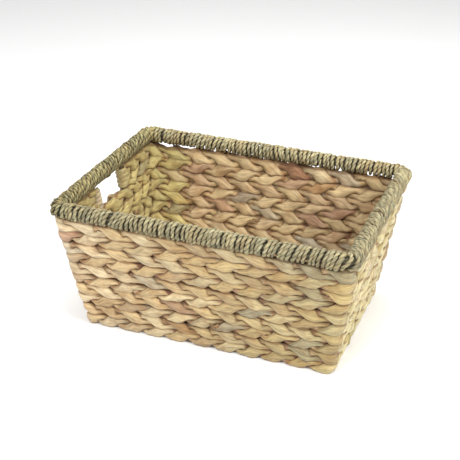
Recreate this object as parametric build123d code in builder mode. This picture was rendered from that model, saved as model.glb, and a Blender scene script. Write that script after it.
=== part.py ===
"""Rectangular storage basket, twined from dried water hyacinth over a welded steel wire frame.

The frame is a thick rod round the rim, a thinner rod round the foot, four corner posts and two
sets of U-shaped wires that cross under the base and rise up the walls as stakes. Ten courses of
twined strands make the walls, and twelve more make the base. The rim rod is padded with a bundle
of strands and wrapped with seagrass cord. A hand hole through each end, under the rim, has its
two upright edges wrapped.

Frame of the part: millimetres, +Z up, +X along the length. The origin is the centre of the
resting face.
"""

import os

from build123d import *

# Overall size
OVERALL_LENGTH = 400.0
OVERALL_WIDTH = 300.0
OVERALL_HEIGHT = 185.0
FOOT_LENGTH = 335.0  # outside of the walls at the floor
FOOT_WIDTH = 223.0

# Rim
RIM_DIAMETER = 22.0  # over the cord
CORD_THICKNESS = 4.7
RIM_ROD_DIAMETER = 5.0
RIM_BEND_RADIUS = 13.0

# Walls
WALL_THICKNESS = 13.0
WALL_COURSES = 10
COURSE_PITCH = 16.2
COURSE_GAP = 0.4
WIRE_GAP = 4.2  # between the outside strand and the inside strand of a course
FOOT_CORNER_RADIUS = 5.0  # of the wall's middle surface
TOP_CORNER_RADIUS = 9.0
SHARPEST_CORNER = 0.5
STRAND_ROUNDING = 1.6
ROUNDING_SHARE = 1 / 3  # most of a strand's height that the rounding of one edge may take

# Frame wires
WIRE_DIAMETER = 2.5
POST_DIAMETER = 4.0
FOOT_ROD_DIAMETER = 4.0
WIRE_BEND_RADIUS = 6.0
WELD_GAP = 0.1
LONG_SIDE_SPACES = 10  # spaces between stakes along a long side
END_SPACES = 3  # spaces between a hand hole's stake and the corner

# Base
BASE_COURSES = 12
BASE_PITCH = 16.8
BASE_STRAND_THICKNESS = 4.0
BASE_UPPER_THICKNESS = 3.3
BASE_ROUNDING = 1.2

# Hand holes
HANDLE_COURSES = 2  # top courses left out over a hand hole
HANDLE_STAKE_Y = 41.0  # of the stakes at a hand hole's edges, at the rim
WRAP_CLEARANCE = 0.1

# Worked out from the sizes above
RIM_Z = OVERALL_HEIGHT - RIM_DIAMETER / 2
RIM_LENGTH = OVERALL_LENGTH - RIM_DIAMETER
RIM_WIDTH = OVERALL_WIDTH - RIM_DIAMETER
STAKE_TOP = RIM_Z - RIM_ROD_DIAMETER / 2 - WELD_GAP
FOOT_ROD_Z = FOOT_ROD_DIAMETER / 2 + WELD_GAP
CROSS_WIRE_Z = FOOT_ROD_Z + (FOOT_ROD_DIAMETER + WIRE_DIAMETER) / 2 + WELD_GAP / 2
LENGTH_WIRE_Z = CROSS_WIRE_Z + WIRE_DIAMETER + WELD_GAP / 2
BASE_UPPER_Z = LENGTH_WIRE_Z + WIRE_DIAMETER / 2 + WELD_GAP
BASE_TOP = BASE_UPPER_Z + BASE_UPPER_THICKNESS
HANDLE_BOTTOM = (WALL_COURSES - HANDLE_COURSES) * COURSE_PITCH
SILL_Z = HANDLE_BOTTOM - COURSE_GAP - WIRE_DIAMETER
LEAN = (RIM_LENGTH - FOOT_LENGTH + WALL_THICKNESS) / 2 / RIM_Z  # of the end walls, run over rise
CORNER_SETBACK = 1 - 0.5**0.5  # share of a corner's radius from its arc to its sharp corner, in x
CORNERS = [
    (f"{face}_{end}", sx, sy)
    for end, sx in (("left", -1), ("right", 1))
    for face, sy in (("front", -1), ("back", 1))
]


def between(z, at_foot, at_rim):
    """A size at height z that changes evenly from the floor to the rim."""
    return at_foot + (at_rim - at_foot) * z / RIM_Z


def wall_length(z):
    """Length of the walls' middle surface at height z."""
    return between(z, FOOT_LENGTH - WALL_THICKNESS, RIM_LENGTH)


def wall_width(z):
    """Width of the walls' middle surface at height z."""
    return between(z, FOOT_WIDTH - WALL_THICKNESS, RIM_WIDTH)


def corner_radius(z):
    """Corner radius of the walls' middle surface at height z."""
    return between(z, FOOT_CORNER_RADIUS, TOP_CORNER_RADIUS)


def post_point(z):
    """Centre of the corner post at height z, in the corner where x and y are positive."""
    setback = corner_radius(z) * CORNER_SETBACK
    return Vector(wall_length(z) / 2 - setback, wall_width(z) / 2 - setback, z)


def long_side_stake(step, z):
    """Point on the stake that stands step spaces from the middle of the long side at +Y."""
    x = post_point(z).X * 2 * step / LONG_SIDE_SPACES
    return Vector(x, wall_width(z) / 2, z)


def end_stake(step, z):
    """Point on an end stake at +X. Step 0 is the middle, 1 the hand hole's edge, then outwards."""
    edge_share = HANDLE_STAKE_Y / post_point(STAKE_TOP).Y
    share = 0.0
    if step:
        share = edge_share + (1 - edge_share) * (abs(step) - 1) / END_SPACES
    y = share * post_point(z).Y * (1 if step > 0 else -1)
    return Vector(wall_length(z) / 2, y, z)


def wall_outline(z, offset):
    """Rounded rectangle at height z, offset outwards from the walls' middle surface."""
    radius = max(corner_radius(z) + offset, SHARPEST_CORNER)
    with BuildSketch(Plane.XY.offset(z)) as outline:
        RectangleRounded(wall_length(z) + 2 * offset, wall_width(z) + 2 * offset, radius)
    return outline.sketch


def rim_path():
    """Centre line of the rim rod."""
    with BuildSketch(Plane.XY.offset(RIM_Z)) as outline:
        RectangleRounded(RIM_LENGTH, RIM_WIDTH, RIM_BEND_RADIUS)
    return outline.sketch.face().outer_wire()


def ring_section(path, outer_radius, inner_radius=0.0):
    """Round section, with a hole if inner_radius is given, square to the start of a path."""
    with BuildSketch(Plane(origin=path @ 0, z_dir=path % 0)) as section:
        Circle(outer_radius)
        if inner_radius:
            Circle(inner_radius, mode=Mode.SUBTRACT)
    return section.sketch


def mirrored(point, sx, sy):
    """A point of the quarter where x and y are positive, moved to another quarter."""
    return Vector(point.X * sx, point.Y * sy, point.Z)


def round_bar(low, high, radius, hole_radius=0.0):
    """Straight round bar between two points, or a tube if hole_radius is given."""
    with BuildPart(mode=Mode.PRIVATE) as bar:
        with BuildSketch(Plane(origin=low, z_dir=high - low)):
            Circle(radius)
            if hole_radius:
                Circle(hole_radius, mode=Mode.SUBTRACT)
        extrude(amount=(high - low).length)
    return bar.part


def stake_slots():
    """Holes for the stakes and posts in whatever surrounds the rim rod, one solid for each."""
    low_z, high_z = RIM_Z - RIM_DIAMETER, STAKE_TOP + WELD_GAP
    slots = []
    for step in range(1 - LONG_SIDE_SPACES // 2, LONG_SIDE_SPACES // 2):
        low, high = long_side_stake(step, low_z), long_side_stake(step, high_z)
        for side in (-1, 1):
            ends = mirrored(low, 1, side), mirrored(high, 1, side)
            slots.append(round_bar(*ends, WIRE_DIAMETER / 2 + WELD_GAP))
    for step in range(1, END_SPACES + 1):
        low, high = end_stake(step, low_z), end_stake(step, high_z)
        for _, sx, sy in CORNERS:
            ends = mirrored(low, sx, sy), mirrored(high, sx, sy)
            slots.append(round_bar(*ends, WIRE_DIAMETER / 2 + WELD_GAP))
    for _, sx, sy in CORNERS:
        ends = mirrored(post_point(low_z), sx, sy), mirrored(post_point(high_z), sx, sy)
        slots.append(round_bar(*ends, POST_DIAMETER / 2 + WELD_GAP))
    return slots


def u_wire(foot, top, across):
    """Wire from a stake's top at -across, down the wall, under the base and up the wall at across.

    foot and top are points on the stake at the across side."""
    reach_foot, reach_top = foot.dot(across), top.dot(across)
    middle = foot - across * reach_foot
    rise = (top - across * reach_top) - middle
    with BuildPart() as wire:
        plane = Plane(origin=middle, x_dir=across, z_dir=across.cross(rise))
        with BuildLine(plane) as path:
            FilletPolyline(
                (-reach_top, rise.length),
                (-reach_foot, 0),
                (reach_foot, 0),
                (reach_top, rise.length),
                radius=WIRE_BEND_RADIUS,
            )
        with BuildSketch(Plane(origin=path.line @ 0, z_dir=path.line % 0)):
            Circle(WIRE_DIAMETER / 2)
        sweep(path=path.line)
    return wire.part


def strand_band(low, high, inside, outside):
    """Closed band between two heights and between two offsets from the walls' middle surface."""
    with BuildPart() as band:
        loft([wall_outline(low, outside), wall_outline(high, outside)])
        loft([wall_outline(low, inside), wall_outline(high, inside)], mode=Mode.SUBTRACT)
        rings = band.edges().group_by(Axis.Z)
        fillet(rings[0] + rings[-1], min(STRAND_ROUNDING, (high - low) * ROUNDING_SHARE))
    return band.part


def save(part, name):
    """Labels a finished piece and writes its STEP file."""
    part.label = name
    export_step(part, f"parts/{name}.step")


os.makedirs("parts", exist_ok=True)

# Rim rod: one closed ring of thick rod.
with BuildPart() as rim_rod:
    sweep(ring_section(rim_path(), RIM_ROD_DIAMETER / 2), path=rim_path())
save(rim_rod.part, "rim_rod")

# Rim padding: a bundle of strands round the rod, notched where the stakes meet the rod.
padding_radius = RIM_DIAMETER / 2 - CORD_THICKNESS
with BuildPart() as rim_padding:
    rod_hole = RIM_ROD_DIAMETER / 2 + WELD_GAP
    sweep(ring_section(rim_path(), padding_radius - WELD_GAP, rod_hole), path=rim_path())
    add(stake_slots(), mode=Mode.SUBTRACT)
save(rim_padding.part, "rim_padding")

# Rim cord: the seagrass wrapping, drawn as the sleeve that its turns fill.
with BuildPart() as rim_cord:
    sweep(ring_section(rim_path(), RIM_DIAMETER / 2, padding_radius), path=rim_path())
    add(stake_slots(), mode=Mode.SUBTRACT)
save(rim_cord.part, "rim_cord")

# Foot rod: the ring that the walls and the base meet at.
with BuildPart() as foot_rod:
    foot_path = wall_outline(FOOT_ROD_Z, 0).face().outer_wire()
    sweep(ring_section(foot_path, FOOT_ROD_DIAMETER / 2), path=foot_path)
save(foot_rod.part, "foot_rod")

# Corner posts, welded between the foot rod and the rim rod.
post_bottom = FOOT_ROD_Z + FOOT_ROD_DIAMETER / 2 + WELD_GAP
for corner, sx, sy in CORNERS:
    foot, top = post_point(post_bottom), post_point(STAKE_TOP)
    with BuildPart() as corner_post:
        add(round_bar(mirrored(foot, sx, sy), mirrored(top, sx, sy), POST_DIAMETER / 2))
    save(corner_post.part, f"corner_post_{corner}")

# Cross wires: each runs down the front wall, under the base and up the back wall.
for step in range(1 - LONG_SIDE_SPACES // 2, LONG_SIDE_SPACES // 2):
    foot = long_side_stake(step, CROSS_WIRE_Z)
    top = long_side_stake(step, STAKE_TOP)
    save(u_wire(foot, top, Vector(0, 1, 0)), f"cross_wire_{step + LONG_SIDE_SPACES // 2}")

# Length wires: each runs down the left end, over the cross wires and up the right end. The middle
# one stops under the sills of the hand holes.
for step in range(-END_SPACES, END_SPACES + 1):
    foot = end_stake(step, LENGTH_WIRE_Z)
    top = end_stake(step, STAKE_TOP if step else SILL_Z - WIRE_DIAMETER / 2 - WELD_GAP)
    save(u_wire(foot, top, Vector(1, 0, 0)), f"length_wire_{step + END_SPACES + 1}")

# Sill wires: each joins the two stakes at a hand hole's edges, under the hole.
for end, side in (("left", -1), ("right", 1)):
    x = side * wall_length(SILL_Z) / 2
    reach = end_stake(1, SILL_Z).Y - WIRE_DIAMETER / 2 - WELD_GAP
    with BuildPart() as sill_wire:
        add(round_bar(Vector(x, -reach, SILL_Z), Vector(x, reach, SILL_Z), WIRE_DIAMETER / 2))
    save(sill_wire.part, f"handle_sill_wire_{end}")

# Handle wraps: strands wound round the stakes at the upright edges of the hand holes.
wrap_radius = WALL_THICKNESS / 2
wrap_low = HANDLE_BOTTOM + wrap_radius * LEAN + WRAP_CLEARANCE
wrap_high = HANDLE_BOTTOM + HANDLE_COURSES * COURSE_PITCH - COURSE_GAP - wrap_radius * LEAN
for corner, sx, sy in CORNERS:
    low, high = end_stake(1, wrap_low), end_stake(1, wrap_high)
    hole_radius = WIRE_DIAMETER / 2 + WRAP_CLEARANCE
    with BuildPart() as handle_wrap:
        add(round_bar(mirrored(low, sx, sy), mirrored(high, sx, sy), wrap_radius, hole_radius))
    save(handle_wrap.part, f"handle_wrap_{corner}")

# Wall courses: an outside strand and an inside strand, either side of the stakes. The lowest
# inside strand sits on the base. The top courses turn back at the hand holes.
for course in range(1, WALL_COURSES + 1):
    low = (course - 1) * COURSE_PITCH
    high = low + COURSE_PITCH - COURSE_GAP
    with BuildPart() as wall_course:
        add(strand_band(low, high, WIRE_GAP / 2, WALL_THICKNESS / 2))
        inside_low = max(low, BASE_TOP + WELD_GAP)
        add(strand_band(inside_low, high, -WALL_THICKNESS / 2, -WIRE_GAP / 2))
        if course > WALL_COURSES - HANDLE_COURSES:
            turn_y = end_stake(1, high).Y + wrap_radius + COURSE_GAP
            with BuildSketch(Plane.XY.offset(low)):
                Rectangle(OVERALL_LENGTH, 2 * turn_y)
            extrude(amount=COURSE_PITCH, mode=Mode.SUBTRACT)
    save(wall_course.part, f"wall_course_{course:02d}")

# Base courses: a lower strand under the cross wires and an upper strand over the length wires.
lower_length = wall_length(0) - WIRE_GAP - COURSE_GAP
upper_length = wall_length(0) - 2 * WIRE_BEND_RADIUS
for course in range(1, BASE_COURSES + 1):
    y = (course - (BASE_COURSES + 1) / 2) * BASE_PITCH
    strand_width = BASE_PITCH - COURSE_GAP
    with BuildPart() as base_course:
        with BuildSketch():
            with Locations((0, y)):
                Rectangle(lower_length, strand_width)
        extrude(amount=BASE_STRAND_THICKNESS)
        with BuildSketch(Plane.XY.offset(BASE_UPPER_Z)):
            with Locations((0, y)):
                Rectangle(upper_length, strand_width)
        extrude(amount=BASE_UPPER_THICKNESS)
        fillet(base_course.edges().filter_by(Axis.X), BASE_ROUNDING)
    save(base_course.part, f"base_course_{course:02d}")
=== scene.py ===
"""The looks of a storage basket twined from dried water hyacinth, with a rim wound in seagrass cord.

Lengths are in metres, +X along the basket, +Y towards its back, +Z up. Every strand is a closed
skin swept along a centre line, with creases along its length and a colour for each leaf-like
stretch that shows between two stakes.
"""

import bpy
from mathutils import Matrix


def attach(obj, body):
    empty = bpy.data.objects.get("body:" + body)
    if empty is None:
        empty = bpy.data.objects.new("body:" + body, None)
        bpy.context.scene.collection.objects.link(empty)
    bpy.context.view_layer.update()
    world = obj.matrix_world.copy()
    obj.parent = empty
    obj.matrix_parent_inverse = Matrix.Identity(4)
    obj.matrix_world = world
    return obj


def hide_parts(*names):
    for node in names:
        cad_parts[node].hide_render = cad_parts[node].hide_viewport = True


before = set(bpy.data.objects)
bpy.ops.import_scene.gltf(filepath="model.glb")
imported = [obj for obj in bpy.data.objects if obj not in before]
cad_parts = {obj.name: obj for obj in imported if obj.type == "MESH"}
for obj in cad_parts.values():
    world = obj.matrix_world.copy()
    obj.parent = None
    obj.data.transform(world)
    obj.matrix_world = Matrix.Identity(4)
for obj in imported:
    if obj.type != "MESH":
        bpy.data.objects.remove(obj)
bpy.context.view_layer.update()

import math

import bpy
import numpy as np
from mathutils import Vector

# Size of the basket, as in the frame
RIM_Z = 0.174
RIM_LENGTH, RIM_WIDTH = 0.378, 0.278
RIM_BEND = 0.0085
FOOT_LENGTH, FOOT_WIDTH = 0.322, 0.210  # of the walls' middle surface
OUTSIDE_CORNERS = (0.003, 0.006)  # radius of the path at the foot and at the rim, for what shows outside
INSIDE_CORNERS = (0.014, 0.018)  # and inside, where the strands round the corners off
CORNER_BULGE = 0.0012
WALL_HALF = 0.0065  # half the wall's thickness
COURSES, COURSE_PITCH = 10, 0.0162
BASE_COURSES, BASE_PITCH, BASE_MIDDLE_Z = 12, 0.0168, 0.0063
LONG_SPACES, END_SPACES = 10, 3
HANDLE_STAKE_Y = 0.041
HANDLE_COURSES = 2
RIM_RADIUS = 0.011
REST = 0.0012
SETTLE, SETTLED_STAKE = 0.0032, 27.2
TOP_COURSE_RISE = 0.0012  # the last course is pushed up against the rim
NORMAL_BLEND = 0.0045  # how far from a corner the strands start to turn
SEED = 7

# Stakes are counted round the basket from the front left corner: front, right, back, left
END_STAKES = 2 * (END_SPACES + 1)
STAKES = 2 * (LONG_SPACES + END_STAKES)
RIGHT_MIDDLE = LONG_SPACES + END_SPACES + 1
LEFT_MIDDLE = 2 * LONG_SPACES + END_STAKES + END_SPACES + 1
WALL_SPANS = ((LEFT_MIDDLE + 1 - STAKES, RIGHT_MIDDLE - 1), (RIGHT_MIDDLE + 1, LEFT_MIDDLE - 1))  # between the holes
CORNER_STAKES = (0, LONG_SPACES, LONG_SPACES + END_STAKES, 2 * LONG_SPACES + END_STAKES)


def blend(z, at_foot, at_rim):
    return at_foot + (at_rim - at_foot) * z / RIM_Z


def outline(length, width, radius, count=720):
    """Evenly spaced points and outward normals round a rounded rectangle, from its front left
    corner's middle, going right along the front. Also the arc length of each point."""
    hx, hy = length / 2 - radius, width / 2 - radius
    points, normals = [], []
    for cx, cy, start in ((-hx, -hy, 225), (hx, -hy, 270), (hx, hy, 0), (-hx, hy, 90), (-hx, -hy, 180)):
        sweep = 45 if (start in (225, 180)) else 90
        for a in np.radians(np.linspace(start, start + sweep, 24)):
            points.append((cx + radius * math.cos(a), cy + radius * math.sin(a)))
            normals.append((math.cos(a), math.sin(a)))
    points, normals = np.array(points), np.array(normals)
    steps = np.hypot(*np.diff(points, axis=0).T)
    arc = np.concatenate([[0], np.cumsum(steps)])
    even = np.linspace(0, arc[-1], count + 1)
    xy = np.stack([np.interp(even, arc, points[:, i]) for i in (0, 1)], axis=1)
    n = np.stack([np.interp(even, arc, normals[:, i]) for i in (0, 1)], axis=1)
    reach = int(NORMAL_BLEND / (even[1] - even[0]))
    kernel = np.exp(-np.linspace(-2, 2, 2 * reach + 1) ** 2)
    ring = np.concatenate([n[-1 - reach : -1], n, n[1 : reach + 1]])
    n = np.stack([np.convolve(ring[:, i], kernel / kernel.sum(), "valid") for i in (0, 1)], axis=1)
    n /= np.linalg.norm(n, axis=1)[:, None]
    return even, xy, n


def stake_arcs(length, width, radius):
    """Arc length of each stake from the front left corner's middle, and the whole way round."""
    side = (1 - 0.5**0.5) * radius
    corner_x, corner_y = length / 2 - side, width / 2 - side
    half_arc = math.radians(45) * radius
    long_run = length - 2 * radius + 2 * half_arc
    end_run = width - 2 * radius + 2 * half_arc
    share = HANDLE_STAKE_Y / (RIM_WIDTH / 2)
    ends = [0.0]
    ends += [share + (1 - share) * (i - 1) / END_SPACES for i in range(1, END_SPACES + 2)]
    ends = [-e for e in reversed(ends[1:])] + ends
    arcs = []
    base = 0.0
    for i in range(2):
        arcs += [base + long_run * k / LONG_SPACES for k in range(LONG_SPACES)]
        base += long_run
        arcs += [base + end_run * (e + 1) / 2 for e in ends[:-1]]
        base += end_run
    return np.array(arcs + [base])


class WallPath:
    """Maps stake count, offset and height to a point on a wall."""

    def __init__(self, corners):
        self.levels = np.linspace(-0.01, 0.19, 9)
        self.tables = []
        for z in self.levels:
            length, width = blend(z, FOOT_LENGTH, RIM_LENGTH), blend(z, FOOT_WIDTH, RIM_WIDTH)
            radius = blend(z, *corners)
            arc, xy, n = outline(length, width, radius)
            self.tables.append((arc, xy, n, stake_arcs(length, width, radius)))

    def at(self, t, z):
        """Points on the walls' middle surface and their outward normals."""
        shape = np.broadcast_shapes(np.shape(t), np.shape(z))
        t = np.broadcast_to(t, shape) % STAKES
        z = np.broadcast_to(z, shape)
        place = (z - self.levels[0]) / (self.levels[1] - self.levels[0])
        place = np.clip(place, 0, len(self.levels) - 1.001)
        low = place.astype(int)
        part = place - low
        xy = np.zeros(shape + (2,))
        n = np.zeros(shape + (2,))
        for level, (arc, txy, tn, stakes) in enumerate(self.tables):
            weight = np.where(low == level, 1 - part, 0) + np.where(low + 1 == level, part, 0)
            s = np.interp(t, np.arange(STAKES + 1), stakes)
            for i in (0, 1):
                xy[..., i] += weight * np.interp(s, arc, txy[:, i])
                n[..., i] += weight * np.interp(s, arc, tn[:, i])
        n /= np.linalg.norm(n, axis=-1)[..., None]
        return xy, n


outside_path = WallPath(OUTSIDE_CORNERS)
inside_path = WallPath(INSIDE_CORNERS)


def rest(z):
    """Heights pressed flat where they would sink into the surface the basket stands on."""
    return np.where(z < REST, REST * np.exp(np.minimum(z - REST, 0) / REST), z)


def wall_point(t, out, z):
    """A point at an offset out of the walls' middle surface. The corners are sharper outside."""
    z = rest(z)
    share = np.clip(0.5 + 0.5 * out / WALL_HALF, 0, 1)
    share = share * share * (3 - 2 * share)
    xy_out, n_out = outside_path.at(t, z)
    xy_in, n_in = inside_path.at(t, z)
    near = np.min([np.abs((t - c + STAKES / 2) % STAKES - STAKES / 2) for c in CORNER_STAKES], axis=0)
    bulge = CORNER_BULGE * share * np.exp(-((near / 0.45) ** 2))
    n = n_in + (n_out - n_in) * share[..., None]
    xy = xy_in + (xy_out - xy_in) * share[..., None] + n * (out + bulge)[..., None]
    return np.concatenate([xy, z[..., None]], axis=-1)


# ---------------------------------------------------------------- meshes


class Skin:
    """Gathers swept strands into one mesh, with a colour and a grain direction at each point."""

    def __init__(self):
        self.verts, self.faces, self.colors, self.grain = [], [], [], []
        self.count = 0

    def sweep(self, points, colors, grain, closed=False, caps=True):
        """points: rings x around x 3. A closed strand joins its last ring to its first."""
        rings, around = points.shape[:2]
        base = self.count
        self.verts.append(points.reshape(-1, 3))
        self.colors.append(np.broadcast_to(colors, points.shape).reshape(-1, 3))
        self.grain.append(grain.reshape(-1, 3))
        self.count += rings * around
        ring = np.arange(rings if closed else rings - 1)
        i = ring[:, None] * around
        j = ((ring + 1) % rings)[:, None] * around
        k = np.arange(around)[None, :]
        k1 = (k + 1) % around
        quads = np.stack([i + k, i + k1, j + k1, j + k], axis=-1).reshape(-1, 4) + base
        self.faces.append(quads)
        if not closed and caps:
            for ring_start, flip in ((0, True), ((rings - 1) * around, False)):
                centre = points.reshape(-1, 3)[ring_start : ring_start + around].mean(axis=0)
                self.verts.append(centre[None])
                self.colors.append(np.broadcast_to(colors, points.shape).reshape(-1, 3)[ring_start][None])
                self.grain.append(grain.reshape(-1, 3)[ring_start][None])
                hub = self.count
                self.count += 1
                a = base + ring_start + np.arange(around)
                b = base + ring_start + (np.arange(around) + 1) % around
                tri = np.stack([a, b] if not flip else [b, a], axis=-1)
                tri = np.concatenate([tri, np.full((around, 1), hub)], axis=1)
                self.faces.append(np.concatenate([tri, tri[:, :1] * 0 - 1], axis=1))

    def build(self, name, material):
        verts = np.concatenate(self.verts)
        faces = np.concatenate(self.faces)
        sizes = np.where(faces[:, 3] < 0, 3, 4)
        loops = faces.reshape(-1)[(faces >= 0).reshape(-1)]
        mesh = bpy.data.meshes.new(name)
        mesh.vertices.add(len(verts))
        mesh.vertices.foreach_set("co", verts.astype(np.float32).ravel())
        mesh.loops.add(len(loops))
        mesh.loops.foreach_set("vertex_index", loops.astype(np.int32))
        mesh.polygons.add(len(faces))
        starts = np.concatenate([[0], np.cumsum(sizes)[:-1]])
        mesh.polygons.foreach_set("loop_start", starts.astype(np.int32))
        mesh.polygons.foreach_set("use_smooth", np.ones(len(faces), dtype=bool))
        mesh.update(calc_edges=True)
        tint = mesh.attributes.new("tint", "FLOAT_COLOR", "POINT")
        rgba = np.ones((len(verts), 4), dtype=np.float32)
        rgba[:, :3] = np.concatenate(self.colors)
        tint.data.foreach_set("color", rgba.ravel())
        grain = mesh.attributes.new("grain", "FLOAT_VECTOR", "POINT")
        grain.data.foreach_set("vector", np.concatenate(self.grain).astype(np.float32).ravel())
        mesh.validate()
        mesh.materials.append(material)
        obj = bpy.data.objects.new(name, mesh)
        bpy.context.scene.collection.objects.link(obj)
        return obj


def wander(rng, t, step, size, closed_over=None):
    """A smooth random function of t with a new value about every step, size its spread."""
    low, high = float(np.min(t)), float(np.max(t))
    span = closed_over or (high - low)
    knots = max(int(round(span / step)), 4)
    values = rng.normal(0, size, knots)
    place = (np.asarray(t) - low) / span * knots
    i = np.floor(place).astype(int)
    f = place - i
    f = f * f * (3 - 2 * f)
    return values[i % knots] * (1 - f) + values[(i + 1) % knots] * f


def section(theta, half_width, outer, inner, roundness=1.3, edge=0.95):
    """Cross-section of a flattened strand: width, and thickness either side of its middle."""
    c, s = np.cos(theta), np.sin(theta)
    thick = np.where(c > 0, outer, inner) * np.sign(c) * np.abs(c) ** roundness
    wide = half_width * np.sign(s) * np.abs(s) ** edge
    return wide, thick


# Colours of dried hyacinth, linear RGB
STRAW = np.array([0.56, 0.425, 0.228])
CREAM = np.array([0.61, 0.505, 0.318])
BEIGE = np.array([0.49, 0.36, 0.205])
TAN = np.array([0.37, 0.225, 0.10])
RUST = np.array([0.26, 0.125, 0.065])
PINK = np.array([0.45, 0.285, 0.175])
OLIVE = np.array([0.36, 0.32, 0.16])
LIME = np.array([0.52, 0.435, 0.175])
GREY = np.array([0.44, 0.385, 0.275])
# the right end's pale straw, made lighter as painted light where the lamp on the right falls on it
PALE_LIT = np.array([0.68, 0.61, 0.37])
STAIN = np.array([0.46, 0.62, 0.70])
DEPTH_SHADE = np.array([0.62, 0.72, 0.79])  # how much of each channel is lost in a crevice
SUNK_SHADE = np.array([0.40, 0.48, 0.54])  # how much of each channel is lost deep between the leaves

FACE_MIX = {  # chance of each colour on a leaf, by the side it shows on
    "front": ((CREAM, 0.38), (STRAW, 0.415), (BEIGE, 0.11), (PINK, 0.025), (TAN, 0.02), (GREY, 0.04)),
    "inside": ((STRAW, 0.46), (BEIGE, 0.26), (TAN, 0.09), (PINK, 0.09), (RUST, 0.03), (GREY, 0.05)),
    "left": ((LIME, 0.87), (STRAW, 0.05), (OLIVE, 0.08)),
    "right": ((PALE_LIT, 0.80), (CREAM, 0.12), (LIME, 0.08)),
}


def pick(rng, mix):
    chances = np.array([share for _, share in mix])
    colour = mix[rng.choice(len(mix), p=chances / chances.sum())][0]
    other = mix[rng.choice(len(mix), p=chances / chances.sum())][0]
    colour = colour + (other - colour) * rng.uniform(0, 0.35)
    return colour * rng.uniform(0.86, 1.10)


def front_tint(leaf):
    """The front's strands are lighter at the left, and darker and yellower towards the right."""
    share = np.clip(leaf / LONG_SPACES, 0, 1) if 0 <= leaf <= LONG_SPACES else 0.5
    return np.array([1.11, 1.09, 1.10]) * (1 - share) + np.array([0.79, 0.79, 0.62]) * share


def leaf_mix(leaf, outside):
    """Which colours a leaf is picked from. Stakes are counted from the front left corner."""
    t = leaf % STAKES
    if LONG_SPACES < t < LONG_SPACES + END_STAKES:
        return FACE_MIX["right" if outside else "inside"]
    if t > STAKES - END_STAKES - 2:
        return FACE_MIX["front" if outside else "left"]
    return FACE_MIX["front" if outside else "inside"]


AROUND = 32
SWAY = 0.08  # how far a strand tips as it dives
DIVE = 2.0  # how suddenly it dives
LEAD = 0.14  # how much sooner it dives than it reaches its course's edge, so the next leaf covers its tip
SHINGLE = 0.46  # how far the strands tip at a crossing, so that each leaf laps over the one before it
# half sizes of the dark tube in each course's middle, painted shade inside the weave
SHADE_CORE_HALF_OUT, SHADE_CORE_HALF_UP = 0.0024, 0.0030
HOLE_STAKES = 1.0  # half a handle hole, in stake spaces
CREVICE = 0.0008  # how wide a crevice darkens the strands beside it
OVERLAP = 0.17  # how far past the middle between two stakes a leaf still shows, in stake spaces


def smooth(share):
    """A smooth step from 0 to 1 as share goes from 0 to 1."""
    share = np.clip(share, 0, 1)
    return share**2 * (3 - 2 * share)


def crevice(theta, bare, reach_out, reach_up, middle_out, middle_up, wide, thick, spin):
    """How close each point of a strand is to sinking into the other strand or the next course, 0 to 1.

    bare is 1 where no course lies beside the point. The middle, width, thickness and tip are the
    other strand's."""
    side = np.where(np.cos(theta) > 0, 1, -1)[None, :]
    across = reach_up - middle_up
    share = np.clip(np.abs(across) / wide, 0, 1)
    surface = side * (middle_out - across * np.tan(spin)) + thick * (1 - share**2) ** 0.65
    clear = np.where(share < 1, side * reach_out - surface, 1.0)
    pair = np.exp(-np.clip(clear, 0, 1) / CREVICE)
    course = np.exp(-np.clip(COURSE_PITCH / 2 - np.abs(reach_up), 0, 1) / CREVICE)
    return 1 - (1 - pair) * (1 - 0.9 * course * (1 - bare))


def bare_sill(t):
    """1 where the course below the handle holes is bare on top."""
    t = t % STAKES
    return (np.minimum(np.abs(t - RIGHT_MIDDLE), np.abs(t - LEFT_MIDDLE)) < HOLE_STAKES).astype(float)


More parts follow.
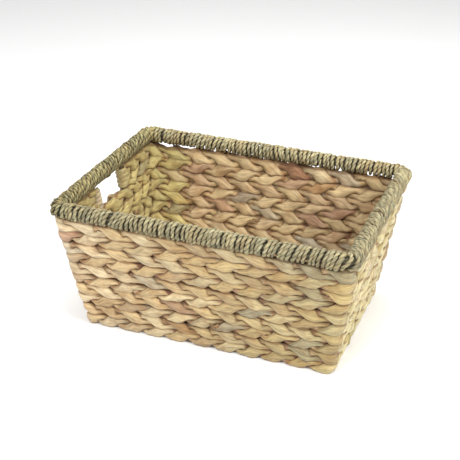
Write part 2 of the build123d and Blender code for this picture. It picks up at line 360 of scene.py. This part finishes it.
def twined_pair(skin, rng, place, t0, t1, hand, half_out, half_up, pitch, mix, closed, steps, sill=False):
    """Two flattened strands twined about each other from stake t0 to stake t1.

    place(t, out, up) gives points. half_out and half_up are half the pair's thickness and height.
    hand is 1 or -1, the way the strands slant. mix(leaf, outside) gives a leaf's colours."""
    rings = int(round((t1 - t0) * steps)) + (0 if closed else 1)
    t = np.linspace(t0, t1, rings, endpoint=not closed)
    span = t1 - t0 if closed else None
    theta = np.linspace(0, 2 * math.pi, AROUND, endpoint=False)
    pair_out = wander(rng, t, 1.3, 0.0004, span)
    pair_up = wander(rng, t, 2.2, 0.0006, span)
    jitter = wander(rng, t, 1.0, 0.11, span)
    strands = []
    for strand in (0, 1):
        phi = math.pi * (t + strand) + jitter + wander(rng, t, 1.0, 0.10, span)
        # flat over a stake, gathered and rounder where it dives between two stakes
        cos2, sin2 = np.cos(phi) ** 2, np.sin(phi) ** 2
        wide = half_up * (1.26 * cos2 + 0.50 * sin2) * (1 + wander(rng, t, 0.8, 0.07, span))
        outer = half_out * (0.60 * cos2 + 0.78 * sin2) * (1 + wander(rng, t, 0.6, 0.07, span))
        inner = outer * 0.9
        reach_flat = half_out * (1 + wander(rng, t, 0.7, 0.05, span)) - outer
        reach_high = half_up * 0.60 * (1 + wander(rng, t, 0.9, 0.05, span))
        ends = np.ones(rings)
        if not closed:
            ends = np.clip(np.minimum(t - t0, t1 - t) / 0.30, 0.0, 1.0) ** 0.5
            wide, outer, inner = wide * (0.45 + 0.55 * ends), outer * (0.4 + 0.6 * ends), inner * (0.4 + 0.6 * ends)
        roll = wander(rng, t, 0.8, 0.14, span)
        skew = wander(rng, t, 0.9, 0.25, span)
        w, n = section(theta[None, :], wide[:, None], outer[:, None], inner[:, None])
        # creases that run along the strand and drift across it
        crease = np.zeros((rings, AROUND))
        for _ in range(4):
            fold = wander(rng, t, 0.9, 0.5, span)[:, None] + rng.uniform(-1.6, 1.6)
            depth = 0.8 * np.clip(0.3 + wander(rng, t, 0.6, 0.5, span), 0, 1.2)[:, None]
            gap = (theta[None, :] - fold + math.pi) % (2 * math.pi) - math.pi
            crease -= depth * np.exp(-((gap / 0.2) ** 2))
        for waves, depth in ((3, 0.18), (5, 0.24), (8, 0.26), (12, 0.24)):
            drift = wander(rng, t, 2.4, 0.6, span)[:, None] + rng.uniform(0, 6.3)
            swell = 0.6 + wander(rng, t, 0.7, 0.35, span)[:, None]
            crease += depth * swell * np.cos(waves * theta[None, :] + drift)
        cross = wander(rng, t, 0.10, 0.5, span)[:, None] * np.cos(theta[None, :] * 2 + strand)
        n = n + (skew[:, None] * w * 0.16)
        lift = 1 + (0.052 * crease + 0.02 * cross)
        w, n = w * (1 + 0.02 * crease), n * lift
        spin = (roll - SWAY * np.sin(2 * phi) - SHINGLE * np.sin(phi + LEAD) ** 2)[:, None]
        dive_shape = np.tanh(DIVE * np.cos(phi + LEAD)) / math.tanh(DIVE)
        slant = 0.2 * np.sin(phi) + 1.6 * np.arcsin(0.98 * np.sin(phi)) / math.pi
        middle_out = (reach_flat * ends * dive_shape)[:, None]
        middle_up = (reach_high * ends * slant)[:, None]
        reach_out = middle_out + n * np.cos(spin) - w * np.sin(spin)
        reach_up = middle_up + n * np.sin(spin) + w * np.cos(spin)
        thick = np.where(np.cos(theta)[None, :] > 0, outer[:, None], inner[:, None])
        strands.append((crease, reach_out, reach_up, middle_out, middle_up, wide[:, None], thick, spin))
    for strand in (0, 1):
        crease, reach_out, reach_up = strands[strand][:3]
        bare = bare_sill(t)[:, None] * (hand * reach_up > 0) if sill else 0
        dark = crevice(theta, bare, reach_out, reach_up, *strands[1 - strand][3:])
        sunk = (1 - smooth((np.abs(reach_out) / half_out - 0.16) / 0.50)) * (1 - 0.75 * bare)
        out = reach_out + pair_out[:, None]
        up = hand * reach_up + pair_up[:, None]
        points = place(np.broadcast_to(t[:, None], out.shape), out, up)
        if hand < 0:
            points, crease, dark, sunk = (part[:, ::-1] for part in (points, crease, dark, sunk))
        # a colour for each leaf, changing where the strand dives between the stakes
        first = int(math.floor(t0 - 1))
        leaves = int(math.ceil(t1 + 1)) - first + 1
        hues = []
        for leaf in range(leaves):
            outside = (first + leaf + strand) % 2 == 0
            hues.append(pick(rng, mix(first + leaf, outside)) * (front_tint(first + leaf) if outside else 1))
        hues = np.array(hues)
        # some leaves are stained dark where they come out
        stains = np.where(rng.random(leaves) < 0.24, rng.uniform(0.35, 1.0, leaves), 0.0)
        if closed:
            hues[0], hues[-1], hues[-2] = hues[leaves - 3], hues[2], hues[1]
            stains[0], stains[-1], stains[-2] = stains[leaves - 3], stains[2], stains[1]
        where = np.broadcast_to((t - first)[:, None], crease.shape)
        before = np.floor(where).astype(int)
        leaves_out = np.where((first + before + strand) % 2 == 0, 1, -1)
        facing = np.cos(theta)[None, :] if hand > 0 else np.cos(theta)[None, ::-1]
        place_in_leaf = where - OVERLAP * facing * leaves_out
        i = np.clip(np.floor(place_in_leaf + 0.5).astype(int), 0, leaves - 1)
        past = place_in_leaf - i
        near = np.clip(np.where(past > 0, i + 1, i - 1), 0, leaves - 1)
        edge = np.clip(np.abs(past) - 0.46, 0, 0.04)[..., None] / 0.08
        colour = hues[i] * (1 - edge) + hues[near] * edge
        # painted shade: the strand is darker in its creases
        shade = 1 - 0.13 * np.clip(-crease, 0, 2.0)[..., None]
        stain = stains[i] * np.exp(-(((past + 0.5) / 0.17) ** 2))
        shade = shade * (1 - stain[..., None] * STAIN)
        # painted shade at each leaf's tip, where it dives under the next leaf
        tips = np.exp(-(((np.abs(past) - 0.5) / 0.12) ** 2))[..., None]
        dive = 1 - tips * np.array([0.06, 0.11, 0.16])
        # painted shade in the crevices beside the other strand and the next course, and deep between the leaves
        hollow = (1 - dark[..., None] * DEPTH_SHADE) * (1 - sunk[..., None] * SUNK_SHADE)
        colors = colour * shade * dive * hollow
        grain = np.zeros(points.shape)
        grain[..., 0] = (t * pitch)[:, None]
        grain[..., 1] = (theta / (2 * math.pi) * 4 * half_up)[None, :]
        grain[..., 2] = rng.uniform(0, 40)
        skin.sweep(points, colors, grain, closed=closed)


def shade_core(skin, rng, place, t0, t1, closed, steps):
    """A dark tube along a course's middle, painted shade for the inside of the weave, so that no light shows where its
    strands cross.
    """
    rings = int(round((t1 - t0) * steps)) + (0 if closed else 1)
    t = np.linspace(t0, t1, rings, endpoint=not closed)
    theta = np.linspace(0, 2 * math.pi, 8, endpoint=False)
    swell = 1 + wander(rng, t, 0.4, 0.12, t1 - t0 if closed else None)[:, None]
    out = SHADE_CORE_HALF_OUT * swell * np.cos(theta)[None, :]
    height = SHADE_CORE_HALF_UP * swell * np.sin(theta)[None, :]
    points = place(np.broadcast_to(t[:, None], out.shape), out, height)
    grain = np.zeros(points.shape)
    grain[..., 0] = t[:, None] * 0.034
    grain[..., 1] = (theta * SHADE_CORE_HALF_UP)[None, :]
    skin.sweep(points, TAN * 0.4, grain, closed=closed)


def slivers(skin, rng, place, t, side, up, count, length, rise, thick, tint, spread=0.25):
    """Thin fibres that have come away from a strand at stake count t, on side 1 outside or -1 inside.

    length is in stake spaces. rise is how far their tips stand off the wall."""
    theta = np.linspace(0, 2 * math.pi, 5, endpoint=False)
    s = np.linspace(0, 1, 10)
    for _ in range(count):
        way = rng.choice((-1, 1))
        tt = t + rng.normal(0, 0.08) + way * length * rng.uniform(0.4, 1) * s
        lift = WALL_HALF - 0.0008 + rise * rng.uniform(0.2, 1) * s**1.6
        high = up + rng.normal(0, 0.0016) + rng.uniform(-1, 1) * 0.5 * length * 0.036 * s
        high = high + rng.normal(0, 0.0006) * np.sin(5 * s)
        fat = thick * rng.uniform(0.6, 1.3) * (1 - 0.8 * s)
        out = side * (lift[:, None] + fat[:, None] * np.cos(theta)[None, :])
        up_grid = high[:, None] + 2.0 * fat[:, None] * np.sin(theta)[None, :]
        points = place(np.broadcast_to(tt[:, None], out.shape), out, up_grid)
        if side * way < 0:
            points = points[:, ::-1]
        grain = np.zeros(points.shape)
        grain[..., 0] = tt[:, None] * 0.03
        skin.sweep(points, tint * rng.uniform(1 - spread, 1 + spread), grain)


# ---------------------------------------------------------------- materials


def nodes_for(name):
    material = bpy.data.materials.new(name)
    material.use_nodes = True
    tree = material.node_tree
    tree.nodes.clear()
    return material, tree


def add(tree, kind, **settings):
    node = tree.nodes.new(kind)
    for key, value in settings.items():
        if key in node.bl_rna.properties:
            setattr(node, key, value)
        else:
            node.inputs[key.replace("_", " ")].default_value = value
    return node


def noise(tree, vector, scale, detail, stretch=(1, 1, 1), distortion=0.0):
    mapping = add(tree, "ShaderNodeMapping")
    mapping.inputs["Scale"].default_value = stretch
    tree.links.new(vector, mapping.inputs["Vector"])
    node = add(tree, "ShaderNodeTexNoise", Scale=scale, Detail=detail, Roughness=0.6, Distortion=distortion)
    tree.links.new(mapping.outputs["Vector"], node.inputs["Vector"])
    return node.outputs["Fac"]


def ramp(tree, fac, stops):
    node = add(tree, "ShaderNodeValToRGB")
    elements = node.color_ramp.elements
    while len(elements) < len(stops):
        elements.new(0.5)
    for element, (position, value) in zip(elements, stops):
        element.position = position
        element.color = (*value, 1) if isinstance(value, tuple) else (value, value, value, 1)
    tree.links.new(fac, node.inputs["Fac"])
    return node.outputs["Color"]


def mix_color(tree, kind, fac, a, b):
    node = add(tree, "ShaderNodeMix", data_type="RGBA", blend_type=kind)
    for socket, value in ((0, fac), (6, a), (7, b)):
        if isinstance(value, (float, tuple)):
            node.inputs[socket].default_value = value
        else:
            tree.links.new(value, node.inputs[socket])
    return node.outputs[2]


def fibre_material(name, fine, streak, bump, rough=(0.50, 0.80), sheen=0.12, blotch=0.5):
    """Dried plant fibre. Streaks run along the strand, with blotches and a few dark specks."""
    material, tree = nodes_for(name)
    tint = add(tree, "ShaderNodeAttribute", attribute_name="tint").outputs["Color"]
    grain = add(tree, "ShaderNodeAttribute", attribute_name="grain").outputs["Vector"]
    place = add(tree, "ShaderNodeTexCoord").outputs["Object"]
    fibres = noise(tree, grain, fine, 5, (0.045, 1.0, 1.0), 0.3)
    broad = noise(tree, grain, fine * 0.28, 3, (0.10, 1.0, 1.0), 0.5)
    patches = noise(tree, place, 55.0, 4)
    specks = noise(tree, place, 520.0, 3)
    colour = mix_color(tree, "MULTIPLY", streak, tint, ramp(tree, fibres, ((0.28, 0.52), (0.52, 1.0), (0.75, 1.25))))
    colour = mix_color(tree, "MULTIPLY", streak, colour, ramp(tree, broad, ((0.30, 0.50), (0.52, 1.0), (0.78, 1.2))))
    stain = ramp(tree, patches, ((0.36, (0.70, 0.50, 0.34)), (0.52, (1.0, 0.97, 0.94)), (0.72, (1.06, 1.05, 1.0))))
    colour = mix_color(tree, "MULTIPLY", blotch, colour, stain)
    dots = ramp(tree, specks, ((0.24, (0.30, 0.18, 0.10)), (0.31, (1.0, 1.0, 1.0))))
    colour = mix_color(tree, "MULTIPLY", 0.8, colour, dots)
    shader = add(tree, "ShaderNodeBsdfPrincipled")
    tree.links.new(colour, shader.inputs["Base Color"])
    roughness = add(tree, "ShaderNodeMapRange")
    roughness.inputs["To Min"].default_value = rough[1]
    roughness.inputs["To Max"].default_value = rough[0]
    tree.links.new(broad, roughness.inputs["Value"])
    tree.links.new(roughness.outputs["Result"], shader.inputs["Roughness"])
    shader.inputs["Specular IOR Level"].default_value = 0.32
    shader.inputs["Sheen Weight"].default_value = sheen
    shader.inputs["Sheen Roughness"].default_value = 0.5
    relief = add(tree, "ShaderNodeMath", operation="ADD")
    tree.links.new(fibres, relief.inputs[0])
    tree.links.new(broad, relief.inputs[1])
    height = add(tree, "ShaderNodeBump", Strength=bump, Distance=0.0011)
    tree.links.new(relief.outputs[0], height.inputs["Height"])
    tree.links.new(height.outputs["Normal"], shader.inputs["Normal"])
    output = add(tree, "ShaderNodeOutputMaterial")
    tree.links.new(shader.outputs[0], output.inputs["Surface"])
    return material


def wire_material():
    """Dark painted steel wire, a little worn."""
    material, tree = nodes_for("steel_wire")
    place = add(tree, "ShaderNodeTexCoord").outputs["Object"]
    wear = noise(tree, place, 260.0, 4)
    shader = add(tree, "ShaderNodeBsdfPrincipled", Metallic=0.35)
    colour = ramp(tree, wear, ((0.35, (0.085, 0.070, 0.055)), (0.62, (0.14, 0.11, 0.085)), (0.75, (0.22, 0.14, 0.09))))
    tree.links.new(colour, shader.inputs["Base Color"])
    rough = ramp(tree, wear, ((0.3, 0.38), (0.7, 0.62)))
    tree.links.new(rough, shader.inputs["Roughness"])
    height = add(tree, "ShaderNodeBump", Strength=0.25, Distance=0.0003)
    tree.links.new(wear, height.inputs["Height"])
    tree.links.new(height.outputs["Normal"], shader.inputs["Normal"])
    output = add(tree, "ShaderNodeOutputMaterial")
    tree.links.new(shader.outputs[0], output.inputs["Surface"])
    return material


leaf_material = fibre_material("water_hyacinth", 1500.0, 0.80, 0.6)
cord_material = fibre_material("seagrass", 2600.0, 0.75, 0.5, rough=(0.6, 0.88), sheen=0.08, blotch=0.45)
wire = wire_material()


def belongs(obj, slot, *nodes):
    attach(obj, "root")
    if nodes:
        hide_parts(*nodes)


# ---------------------------------------------------------------- walls


def wall_place(middle_z, settle=0.0):
    def place(t, out, up):
        # the top course has settled a little near the back left corner, clear of the rim
        drop = np.exp(-(((t % STAKES - SETTLED_STAKE) / 0.75) ** 2))
        return wall_point(t, out, middle_z + up * (1 - 0.12 * drop * (settle > 0)) - settle * drop)

    return place


steps = 26
for course in range(1, COURSES + 1):
    rng = np.random.default_rng(SEED * 100 + course)
    skin = Skin()
    middle = (course - 0.5) * COURSE_PITCH - 0.0001
    hand = -1 if (COURSES - course) % 2 == 0 else 1
    half_up = COURSE_PITCH / 2 + 0.0004
    if course == COURSES:
        middle, half_up = middle + TOP_COURSE_RISE / 2, half_up + TOP_COURSE_RISE
    place = wall_place(middle, SETTLE if course == COURSES else 0.0)
    pitch = 0.032 + 0.004 * course / COURSES
    args = (hand, WALL_HALF + 0.0006, half_up, pitch, leaf_mix)
    if course > COURSES - HANDLE_COURSES:
        for start, stop in WALL_SPANS:
            twined_pair(skin, rng, place, start, stop, *args, False, steps)
            shade_core(skin, rng, place, start + 0.3, stop - 0.3, False, 8)
    else:
        twined_pair(skin, rng, place, 0, STAKES, *args, True, steps, course == COURSES - HANDLE_COURSES)
        shade_core(skin, rng, place, 0, STAKES, True, 8)
    edge_y = 2.2
    for kind, number in (("thread", 7), ("fray", 2)):
        for _ in range(number):
            t, side, up = rng.uniform(0, STAKES), rng.choice((-1, 1)), rng.uniform(-0.006, 0.006)
            at_hole = min(abs(t - RIGHT_MIDDLE), abs(t - LEFT_MIDDLE)) < edge_y
            if at_hole and course > COURSES - HANDLE_COURSES:
                continue
            if kind == "thread":
                slivers(skin, rng, place, t, side, up, 1, 0.45, 0.0012, 0.00022, STRAW)
            else:
                t = math.floor(t) + 0.5
                slivers(skin, rng, place, t, side, up * 0.4, 26, 0.24, 0.0016, 0.0007, TAN * 0.75, 0.65)
    if course == COURSES - HANDLE_COURSES:
        for middle_t in (RIGHT_MIDDLE, LEFT_MIDDLE):
            for shift in (-0.7, 0.1, 0.8):
                slivers(skin, rng, place, middle_t + shift, 1, half_up - 0.005, 3, 0.2, -0.004, 0.0005, CREAM)
    obj = skin.build(f"twined_wall_course_{course:02d}", leaf_material)
    belongs(obj, "wall_weave", f"wall_course_{course:02d}")

# ---------------------------------------------------------------- base

half_base = 0.5 * FOOT_LENGTH - 0.004
base_spaces = 10
for course in range(1, BASE_COURSES + 1):
    rng = np.random.default_rng(SEED * 200 + course)
    skin = Skin()
    y0 = (course - (BASE_COURSES + 1) / 2) * BASE_PITCH

    def place(t, out, up):
        x = (t / base_spaces - 0.5) * 2 * half_base
        return np.stack([x, y0 + up, rest(BASE_MIDDLE_Z + out)], axis=-1)

    hand = -1 if course % 2 == 0 else 1
    twined_pair(
        skin, rng, place, -0.02, base_spaces + 0.02, hand, 0.0062, BASE_PITCH / 2 + 0.0003, 0.0318,
        lambda leaf, outside: FACE_MIX["inside" if outside else "front"], False, steps,
    )
    shade_core(skin, rng, place, 0.2, base_spaces - 0.2, False, 8)
    obj = skin.build(f"twined_base_course_{course:02d}", leaf_material)
    belongs(obj, "base_weave", f"base_course_{course:02d}")

# ---------------------------------------------------------------- rim


class RimLine:
    """The rim rod's centre line, with the outward direction at each point."""

    def __init__(self):
        self.arc, self.xy, self.n = outline(RIM_LENGTH, RIM_WIDTH, RIM_BEND, 4000)
        self.length = self.arc[-1]

    def at(self, s):
        s = s % self.length
        centre = np.stack([np.interp(s, self.arc, self.xy[:, 0]), np.interp(s, self.arc, self.xy[:, 1])], axis=1)
        side = np.stack([np.interp(s, self.arc, self.n[:, 0]), np.interp(s, self.arc, self.n[:, 1])], axis=1)
        side /= np.linalg.norm(side, axis=1)[:, None]
        flat = np.zeros((len(s), 1))
        return np.concatenate([centre, flat + RIM_Z], axis=1), np.concatenate([side, flat], axis=1)


rim_line = RimLine()
UP = np.array([[0.0, 0.0, 1.0]])


def along(curve):
    d = np.roll(curve, -1, axis=0) - np.roll(curve, 1, axis=0)
    return d / np.linalg.norm(d, axis=1)[:, None]


def rim_cord():
    rng = np.random.default_rng(SEED * 300)
    turns = 222
    per_turn = 35
    count = turns * per_turn
    share = np.arange(count) / count
    psi = 2 * math.pi * turns * share
    # turns lie unevenly: some crowd together or ride up, some leave a gap, and some lean
    s = rim_line.length * share
    s = s + wander(rng, share, 1 / 150, 0.0009, 1.0) + wander(rng, share, 1 / 400, 0.0005, 1.0)
    lean = 0.0008 + wander(rng, share, 1 / 60, 0.0015, 1.0)
    s = s + lean * np.sin(psi)
    centre, side = rim_line.at(s)
    cord_radius = 0.00238 * (1 + wander(rng, share, 1 / 260, 0.09, 1.0))
    reach = RIM_RADIUS - 0.0025 + wander(rng, share, 1 / 330, 0.00042, 1.0)
    outward = np.cos(psi)[:, None] * side + np.sin(psi)[:, None] * UP
    middle = centre + reach[:, None] * outward
    tangent = along(middle)
    outward = outward - np.sum(outward * tangent, axis=1)[:, None] * tangent
    outward /= np.linalg.norm(outward, axis=1)[:, None]
    third = np.cross(tangent, outward)
    length = np.concatenate([[0], np.cumsum(np.linalg.norm(np.diff(middle, axis=0), axis=1))])
    lays = round(length[-1] / 0.0140)
    twist = 2 * math.pi * lays * length / (length[-1] * (1 + 1 / count)) + wander(rng, share, 1 / 260, 0.5, 1.0)
    skin = Skin()
    around = 6
    theta = np.linspace(0, 2 * math.pi, around, endpoint=False)
    khaki = np.array([0.345, 0.306, 0.174])
    for ply in (0, 1):
        a = twist + math.pi * ply
        offset = 0.38 * cord_radius
        radial = np.cos(a)[:, None] * outward + np.sin(a)[:, None] * third
        swing = -np.sin(a)[:, None] * outward + np.cos(a)[:, None] * third
        ply_middle = middle + offset[:, None] * radial
        thick = 0.74 * cord_radius * (1 + wander(rng, share, 1 / 900, 0.12, 1.0))
        ring = (
            ply_middle[:, None, :]
            + (thick[:, None] * np.cos(theta)[None, :])[..., None] * radial[:, None, :]
            + (1.15 * thick[:, None] * np.sin(theta)[None, :])[..., None] * swing[:, None, :]
        )
        tone = 1 + wander(rng, share, 1 / 600, 0.17, 1.0) + wander(rng, share, 1 / 60, 0.06, 1.0)
        warm = wander(rng, share, 1 / 300, 0.5, 1.0)
        # painted light and shade by place: the cord is darker along the left run and lighter along the back, where the
        # lamps fall differently; the left run is also yellower
        left = np.clip((-centre[:, 0] - 0.16) / 0.03, 0, 1)
        rear = np.clip((centre[:, 1] - 0.10) / 0.03, 0, 1)
        tone = tone * (1 - 0.09 * left * (1 - rear)) * (1 + 0.24 * rear)
        colour = khaki[None, :] * np.clip(tone, 0.5, 1.8)[:, None]
        colour = colour * (1 - left[:, None] * np.array([0.0, 0.02, 0.22])[None, :])
        colour = colour * (1 + np.clip(warm, -1, 1)[:, None] * np.array([0.06, 0.01, -0.07])[None, :])
        # painted shade where the plies meet and deep between the turns, stronger along the left run
        height = np.sum((ring - centre[:, None, :]) * outward[:, None, :], axis=2)
        depth = np.clip((height - reach[:, None]) / cord_radius[:, None] * 0.7 + 0.75, 0, 1)
        crevice = np.clip((np.cos(theta)[None, :] + 0.7) / 1.0, 0, 1)
        shade = ((0.34 + 0.66 * depth) * (0.40 + 0.60 * crevice)) ** (1 + 1.4 * left)[:, None]
        colors = colour[:, None, :] * shade[..., None] * 1.12
        grain = np.zeros(ring.shape)
        grain[..., 0] = length[:, None] * 1.5
        grain[..., 1] = (theta * 0.0016)[None, :]
        grain[..., 2] = ply * 3.0
        skin.sweep(ring, colors, grain, closed=True)
    # stray fibres of the cord
    hair = np.linspace(0, 1, 6)
    for _ in range(340):
        angle, start = rng.uniform(0, 2 * math.pi), rng.uniform(0, rim_line.length)
        span = rng.normal(0, 0.0035)
        s = start + span * hair
        angle = angle + rng.uniform(-0.5, 0.5) * hair
        centre, side = rim_line.at(s)
        ray = np.cos(angle)[:, None] * side + np.sin(angle)[:, None] * UP
        middle = centre + (RIM_RADIUS - 0.0006 + rng.uniform(0.0004, 0.0022) * hair**1.5)[:, None] * ray
        tangent = np.gradient(middle, axis=0)
        tangent /= np.linalg.norm(tangent, axis=1)[:, None] + 1e-9
        third = np.cross(tangent, ray)
        fat = 0.00013 * (1 - 0.7 * hair)
        corner = np.array([0, 2.1, 4.2])
        ring = middle[:, None, :] + fat[:, None, None] * (
            np.cos(corner)[None, :, None] * ray[:, None, :] + np.sin(corner)[None, :, None] * third[:, None, :]
        )
        skin.sweep(ring, khaki * rng.uniform(0.8, 1.5), np.zeros(ring.shape))
    obj = skin.build("wound_rim_cord", cord_material)
    belongs(obj, "seagrass_cord", "rim_cord")


def rim_padding():
    rng = np.random.default_rng(SEED * 400)
    count = 500
    share = np.arange(count) / count
    s = rim_line.length * share
    centre, side = rim_line.at(s)
    skin = Skin()
    theta = np.linspace(0, 2 * math.pi, 8, endpoint=False)
    strands = 7
    for strand in range(strands):
        angle = 2 * math.pi * (strand / strands + 3 * share) + wander(rng, share, 1 / 30, 0.12, 1.0)
        radial = np.cos(angle)[:, None] * side + np.sin(angle)[:, None] * UP
        swing = -np.sin(angle)[:, None] * side + np.cos(angle)[:, None] * UP
        middle = centre + 0.0042 * radial
        thick = 0.0018 * (1 + wander(rng, share, 1 / 60, 0.08, 1.0))
        ring = (
            middle[:, None, :]
            + (thick[:, None] * np.cos(theta)[None, :])[..., None] * radial[:, None, :]
            + (1.2 * thick[:, None] * np.sin(theta)[None, :])[..., None] * swing[:, None, :]
        )
        grain = np.zeros(ring.shape)
        grain[..., 0] = s[:, None]
        grain[..., 1] = (theta * 0.0018)[None, :]
        grain[..., 2] = strand
        # olive padding, made very dark as painted shade where it shows between the turns of the cord
        skin.sweep(ring[:, ::-1], OLIVE * 0.22 * rng.uniform(0.8, 1.2), grain[:, ::-1], closed=True)
    obj = skin.build("rim_padding_strands", leaf_material)
    belongs(obj, "rim_padding", "rim_padding")


rim_cord()
rim_padding()

# ---------------------------------------------------------------- hand holes


def handle_wrap(name, t_stake, seed):
    """A flattened strand wound round the stake at a hand hole's upright edge."""
    rng = np.random.default_rng(seed)
    low = (COURSES - HANDLE_COURSES) * COURSE_PITCH - 0.0005
    high = COURSES * COURSE_PITCH + 0.0008
    skin = Skin()
    theta = np.linspace(0, 2 * math.pi, 18, endpoint=False)
    turns = 4.6
    rings = 150
    s = np.linspace(0, 1, rings)
    psi = 2 * math.pi * turns * s + rng.uniform(0, 6.3)
    z = low + 0.0035 + (high - low - 0.007) * s + wander(rng, s, 0.1, 0.0004)
    xy, n = outside_path.at(np.full(rings, float(t_stake)), z)
    n3 = np.concatenate([n, np.zeros((rings, 1))], axis=1)
    along_wall = np.stack([-n[:, 1], n[:, 0], np.zeros(rings)], axis=1)
    outward = np.cos(psi)[:, None] * n3 + np.sin(psi)[:, None] * along_wall
    reach = 0.0054 + wander(rng, s, 0.08, 0.00035)
    centre = np.concatenate([xy, z[:, None]], axis=1) + reach[:, None] * outward
    tangent = np.gradient(centre, axis=0)
    tangent /= np.linalg.norm(tangent, axis=1)[:, None]
    outward = outward - np.sum(outward * tangent, axis=1)[:, None] * tangent
    outward /= np.linalg.norm(outward, axis=1)[:, None]
    third = np.cross(tangent, outward)
    wide = 0.0046 * (1 + wander(rng, s, 0.08, 0.10)) * np.clip(np.minimum(s, 1 - s) / 0.05, 0.35, 1)
    crease = sum(d * np.cos(m * theta[None, :] + wander(rng, s, 0.2, 0.8)[:, None]) for m, d in ((4, 0.4), (7, 0.4)))
    w, h = section(theta[None, :], wide[:, None], 0.0021, 0.0016)
    h = h * (1 + 0.12 * crease)
    ring = centre[:, None, :] + h[..., None] * outward[:, None, :] + w[..., None] * third[:, None, :]
    base = pick(rng, ((LIME, 0.2), (CREAM, 0.8)))
    grain = np.zeros(ring.shape)
    grain[..., 0] = (s * turns * 0.034)[:, None]
    grain[..., 1] = (theta * 0.0022)[None, :]
    grain[..., 2] = seed
    tone = 1 + wander(rng, s, 0.12, 0.09)
    # painted shade: the strand is darker in its creases
    skin.sweep(ring, base[None, None, :] * tone[:, None, None] * (1 - 0.08 * np.clip(-crease, 0, 1))[..., None], grain)
    obj = skin.build(f"wound_{name}", leaf_material)
    belongs(obj, "handle_wrapping", name)


handle_wrap("handle_wrap_front_right", RIGHT_MIDDLE - 1, 41)
handle_wrap("handle_wrap_back_right", RIGHT_MIDDLE + 1, 42)
handle_wrap("handle_wrap_back_left", LEFT_MIDDLE - 1, 43)
handle_wrap("handle_wrap_front_left", LEFT_MIDDLE + 1, 44)

# ---------------------------------------------------------------- frame wires

for name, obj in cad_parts.items():
    if "wire" in name or "rod" in name or "post" in name:
        obj.data.materials.clear()
        obj.data.materials.append(wire)
        for polygon in obj.data.polygons:
            polygon.use_smooth = True

# ---------------------------------------------------------------- studio


def pale_material(name, value, rough):
    material, tree = nodes_for(name)
    place = add(tree, "ShaderNodeTexCoord").outputs["Object"]
    tone = ramp(tree, noise(tree, place, 3.0, 3), ((0.3, value - 0.01), (0.7, value)))
    shader = add(tree, "ShaderNodeBsdfPrincipled", Roughness=rough)
    tree.links.new(tone, shader.inputs["Base Color"])
    output = add(tree, "ShaderNodeOutputMaterial")
    tree.links.new(shader.outputs[0], output.inputs["Surface"])
    return material


floor_mesh = bpy.data.meshes.new("studio_floor")
size = 6.0
floor_mesh.from_pydata([(-size, -size, -0.0004), (size, -size, -0.0004), (size, size, -0.0004), (-size, size, -0.0004)], [], [(0, 1, 2, 3)])
floor = bpy.data.objects.new("studio_floor", floor_mesh)
bpy.context.scene.collection.objects.link(floor)
floor_mesh.materials.append(pale_material("pale_floor", 0.93, 0.85))


def area_light(name, place, target, size, power, colour=(1, 1, 1)):
    light = bpy.data.lights.new(name, "AREA")
    light.shape = "DISK"
    light.size = size
    light.energy = power
    light.color = colour
    lamp = bpy.data.objects.new(name, light)
    lamp.location = place
    lamp.rotation_euler = (Vector(target) - Vector(place)).to_track_quat("-Z", "Y").to_euler()
    bpy.context.scene.collection.objects.link(lamp)


area_light("key", (1.5, -0.5, 1.3), (0, 0, 0.08), 1.1, 30, (1.0, 0.985, 0.965))
area_light("fill", (-0.2, -1.5, 1.7), (0, 0, 0.08), 0.9, 35, (1.0, 1.0, 1.0))
area_light("top", (0.1, 0.4, 1.9), (0, 0, 0.0), 1.6, 22)
world = bpy.data.worlds.new("studio")
bpy.context.scene.world = world
world.use_nodes = True
background = world.node_tree.nodes["Background"]
background.inputs["Color"].default_value = (1.0, 1.0, 1.0, 1)
# the studio looks white to the camera, and gives a softer light than that
tree = world.node_tree
seen = add(tree, "ShaderNodeLightPath").outputs["Is Camera Ray"]
strength = add(tree, "ShaderNodeMapRange")
strength.inputs["To Min"].default_value = 0.42
strength.inputs["To Max"].default_value = 0.95
tree.links.new(seen, strength.inputs["Value"])
tree.links.new(strength.outputs["Result"], background.inputs["Strength"])
bpy.context.scene.view_settings.view_transform = "Standard"

# ---------------------------------------------------------------- camera

azimuth, elevation, roll = math.radians(21.93), math.radians(26.47), math.radians(0.12)
camera_data = bpy.data.cameras.new("camera")
camera_data.lens = 86.2
camera_data.sensor_width = 36.0
camera = bpy.data.objects.new("camera", camera_data)
camera.location = (0.4343, -1.2212, 0.7614)
back = Vector((math.sin(azimuth) * math.cos(elevation), -math.cos(azimuth) * math.cos(elevation), math.sin(elevation)))
camera.rotation_euler = back.to_track_quat("Z", "Y").to_euler()
camera.rotation_euler.rotate_axis("Z", roll)
camera.rotation_euler.rotate_axis("Y", math.radians(-1.749))
bpy.context.scene.collection.objects.link(camera)
bpy.context.scene.camera = camera
